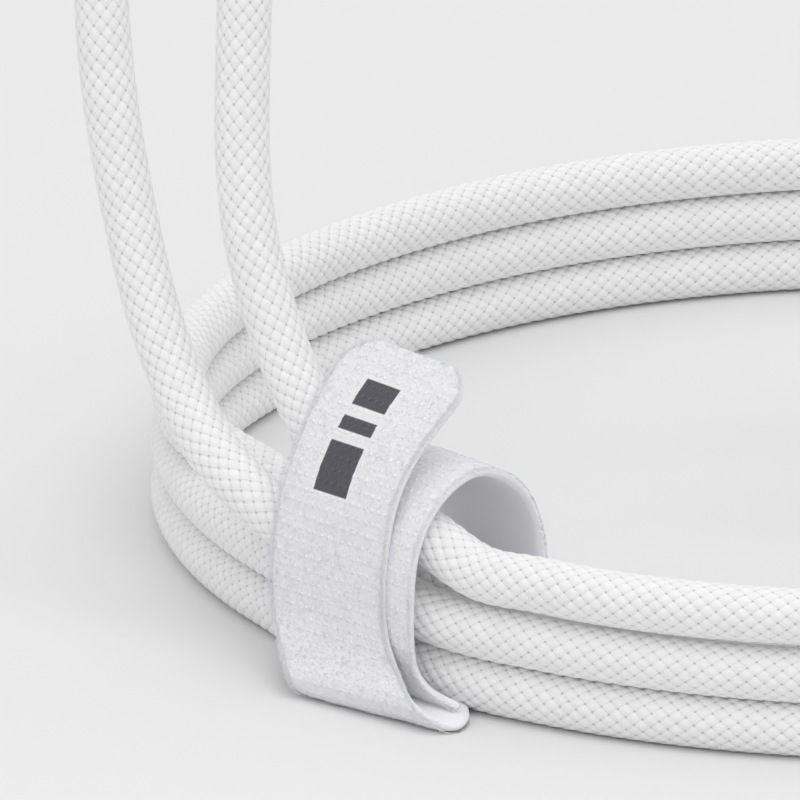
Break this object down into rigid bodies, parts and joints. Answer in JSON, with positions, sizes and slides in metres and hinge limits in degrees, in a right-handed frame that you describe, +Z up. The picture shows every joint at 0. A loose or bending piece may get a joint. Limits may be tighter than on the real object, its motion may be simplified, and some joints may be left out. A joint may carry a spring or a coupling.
{
  "type": "charging cable",
  "caption": "Braided charging cable wound in a flat coil under a hook-and-loop strap, with a reversible plug on each end.",
  "frame": {"origin": "centre of the coil, on the surface that it lies on", "axes": "+Z up; +X to the right and -Y to the front, where the strap is left of the middle; both plugs point along about +X"},
  "size_m": [0.1354, 0.1284, 0.0852],
  "materials": {
    "braid": "white nylon braid, satin yarns",
    "strap": "white loop pile with a cool tint",
    "shell_steel": "satin stainless steel",
    "insulator": "black moulded",
    "gold": "gold plated",
    "spring_steel": "bright",
    "bezel": "white moulded",
    "board": "green solder mask",
    "chips": "black",
    "wires": "coloured insulation",
    "can": "tinned",
    "mould": "natural",
    "housing": "fine satin anodised",
    "boot": "white, soft matt"
  },
  "bodies": {
    "cable": {"coil_back": "braid", "coil_front": "braid", "coil_strap": "braid", "coil_left": "braid", "cable_fold": "braid", "cable_end_a": "braid", "cable_end_b": "braid", "strap_wrap": "strap", "plug_shell_a": "shell_steel", "contact_block_a": "insulator", "contacts_a": "gold", "latch_springs_a": "spring_steel", "bezel_a": "bezel", "board_a": "board", "board_chips_a": "chips", "wires_a": "wires", "cable_tail_a": "braid", "shield_can_a": "can", "inner_mould_a": "mould", "housing_a": "housing", "strain_relief_a": "boot", "plug_shell_b": "shell_steel", "contact_block_b": "insulator", "contacts_b": "gold", "latch_springs_b": "spring_steel", "bezel_b": "bezel", "board_b": "board", "board_chips_b": "chips", "wires_b": "wires", "cable_tail_b": "braid", "shield_can_b": "can", "inner_mould_b": "mould", "housing_b": "housing", "strain_relief_b": "boot"},
    "tongue": {"strap_tongue": "strap"}
  },
  "joints": [
    {"name": "tongue_peel", "type": "hinge", "parent": "cable", "child": "tongue", "pos_m": [-0.05024, -0.04523, 0.0009], "axis": [0.6691, -0.7431, 0], "range_deg": [0, 90]}
  ]
}
